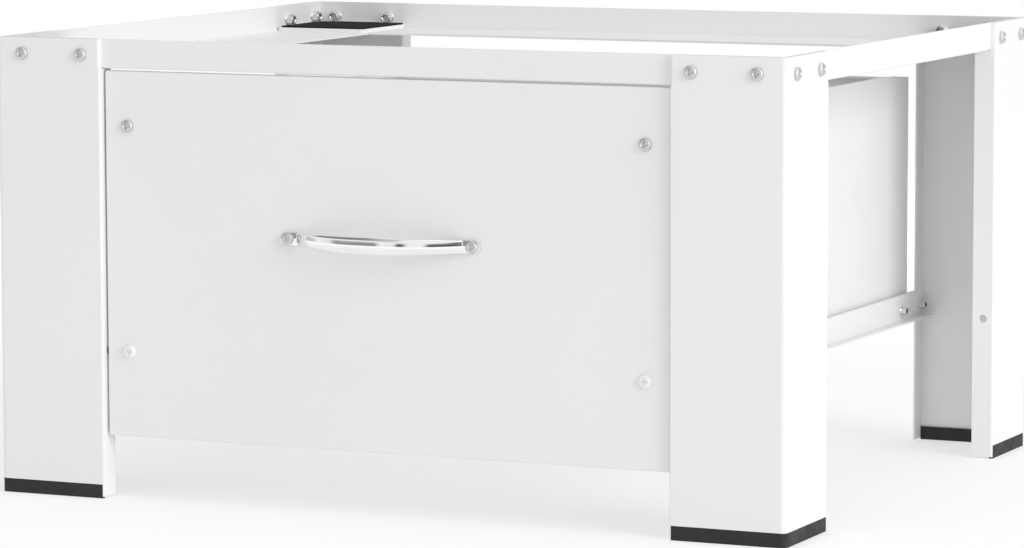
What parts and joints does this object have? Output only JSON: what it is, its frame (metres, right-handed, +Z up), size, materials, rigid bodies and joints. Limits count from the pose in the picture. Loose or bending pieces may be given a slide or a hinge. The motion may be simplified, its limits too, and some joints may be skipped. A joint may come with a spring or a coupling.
{
  "type": "washing machine pedestal with drawer",
  "caption": "Open sheet-steel pedestal that raises a washing machine on corner pads and holds a sliding storage drawer with a bow handle between its legs",
  "frame": {"origin": "on the floor, under the middle of the whole box, handle and screw heads included", "axes": "X to the right of someone facing the drawer, Y to the back, Z up"},
  "size_m": [0.636, 0.5558, 0.342],
  "materials": {
    "painted_sheet": "white powder coat, satin",
    "foot_rubber": "matt black rubber",
    "pad_rubber": "matt black rubber",
    "zinc_steel": "bright zinc plating",
    "black_steel": "black oxide",
    "handle_chrome": "polished chrome plate"
  },
  "bodies": {
    "frame": {"leg_front_left": "painted_sheet", "leg_front_right": "painted_sheet", "leg_back_left": "painted_sheet", "leg_back_right": "painted_sheet", "foot_front_left": "foot_rubber", "foot_front_right": "foot_rubber", "foot_back_left": "foot_rubber", "foot_back_right": "foot_rubber", "rail_front": "painted_sheet", "rail_back": "painted_sheet", "rail_left": "painted_sheet", "rail_right": "painted_sheet", "corner_plate_front_left": "painted_sheet", "corner_plate_front_right": "painted_sheet", "corner_plate_back_left": "painted_sheet", "corner_plate_back_right": "painted_sheet", "corner_pad_front_left": "pad_rubber", "corner_pad_front_right": "pad_rubber", "corner_pad_back_left": "pad_rubber", "corner_pad_back_right": "pad_rubber", "leg_screws": "zinc_steel", "leg_nuts": "zinc_steel", "runner_left": "painted_sheet", "runner_right": "painted_sheet", "slide_rail_left": "painted_sheet", "slide_rail_right": "painted_sheet", "runner_bolts": "black_steel", "runner_nuts": "zinc_steel"},
    "drawer": {"drawer_front": "painted_sheet", "drawer_side_left": "painted_sheet", "drawer_side_right": "painted_sheet", "drawer_back": "painted_sheet", "drawer_bottom": "painted_sheet", "handle": "handle_chrome", "drawer_front_screws": "zinc_steel", "drawer_front_nuts": "zinc_steel", "handle_screws": "zinc_steel", "handle_nuts": "zinc_steel"}
  },
  "joints": [
    {"name": "drawer_slide", "type": "slide", "parent": "frame", "child": "drawer", "axis": [0, -1, 0], "range_m": [0, 0.4]}
  ]
}
